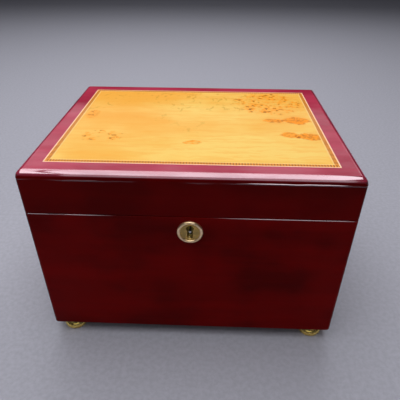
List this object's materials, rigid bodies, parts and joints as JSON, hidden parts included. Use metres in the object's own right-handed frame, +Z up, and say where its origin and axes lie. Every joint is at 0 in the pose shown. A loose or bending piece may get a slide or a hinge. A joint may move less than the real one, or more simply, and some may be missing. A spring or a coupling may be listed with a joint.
{
  "type": "keepsake box",
  "caption": "Lockable lacquered wooden keepsake box with a hinged lid, burl and banded inlay on top, brass keyhole plate, turned brass feet and a lined lift-out tray.",
  "frame": {"origin": "on the surface the feet stand on, under the middle of the box", "axes": "+Z up, -Y towards the front with the keyhole, +X to the right seen from the front"},
  "size_m": [0.28, 0.2222, 0.1902],
  "materials": {
    "lacquered_wood": "dark red stained hardwood under thick clear gloss lacquer",
    "burl_veneer": "golden burl veneer under gloss lacquer",
    "string_inlay": "pale stringing under gloss lacquer",
    "chequer_banding": "dark and light chequer banding under gloss lacquer",
    "polished_brass": "polished brass",
    "fittings_brass": "brushed brass",
    "lock_steel": "plain steel",
    "velvet": "deep green velvet",
    "tray_wood": "dark red stained hardwood, satin"
  },
  "bodies": {
    "box": {"base_board": "lacquered_wood", "front_wall": "lacquered_wood", "right_wall": "lacquered_wood", "back_wall": "lacquered_wood", "left_wall": "lacquered_wood", "liner_front": "velvet", "liner_right": "velvet", "liner_back": "velvet", "liner_left": "velvet", "base_pad": "velvet", "tray_rests": "tray_wood", "lock_case": "fittings_brass", "lock_back_plate": "fittings_brass", "lock_selvedge": "fittings_brass", "lock_spring": "lock_steel", "lock_drill_pin": "lock_steel", "lock_screws": "fittings_brass", "hinge_body_leaf_left": "fittings_brass", "hinge_pin_left": "fittings_brass", "hinge_body_leaf_right": "fittings_brass", "hinge_pin_right": "fittings_brass", "hinge_body_screws": "fittings_brass", "escutcheon": "polished_brass", "foot_front_left": "polished_brass", "foot_front_right": "polished_brass", "foot_back_left": "polished_brass", "foot_back_right": "polished_brass"},
    "lid": {"lid_top_board": "lacquered_wood", "lid_front_rail": "lacquered_wood", "lid_right_rail": "lacquered_wood", "lid_back_rail": "lacquered_wood", "lid_left_rail": "lacquered_wood", "inlay_outer_string": "string_inlay", "inlay_banding": "chequer_banding", "inlay_inner_string": "string_inlay", "burl_panel": "burl_veneer", "lid_liner_front": "velvet", "lid_liner_right": "velvet", "lid_liner_back": "velvet", "lid_liner_left": "velvet", "lid_pad": "velvet", "strike_plate": "fittings_brass", "strike_screws": "fittings_brass", "hinge_lid_leaf_left": "fittings_brass", "hinge_lid_leaf_right": "fittings_brass", "hinge_lid_screws": "fittings_brass"},
    "tray": {"tray_front": "tray_wood", "tray_right": "tray_wood", "tray_back": "tray_wood", "tray_left": "tray_wood", "tray_floor": "velvet", "tray_long_divider": "tray_wood", "tray_front_dividers": "tray_wood", "tray_back_divider": "tray_wood"},
    "bolt": {"lock_bolt": "lock_steel"}
  },
  "joints": [
    {"name": "lid_hinge", "type": "hinge", "parent": "box", "child": "lid", "pos_m": [0, 0.1075, 0.1503], "axis": [-1, 0, 0], "range_deg": [0, 95]},
    {"name": "bolt_slide", "type": "slide", "parent": "box", "child": "bolt", "axis": [1, 0, 0], "range_m": [0, 0.0045]},
    {"name": "tray_lift", "type": "slide", "parent": "box", "child": "tray", "axis": [0, 0, 1], "range_m": [0, 0.024]}
  ]
}
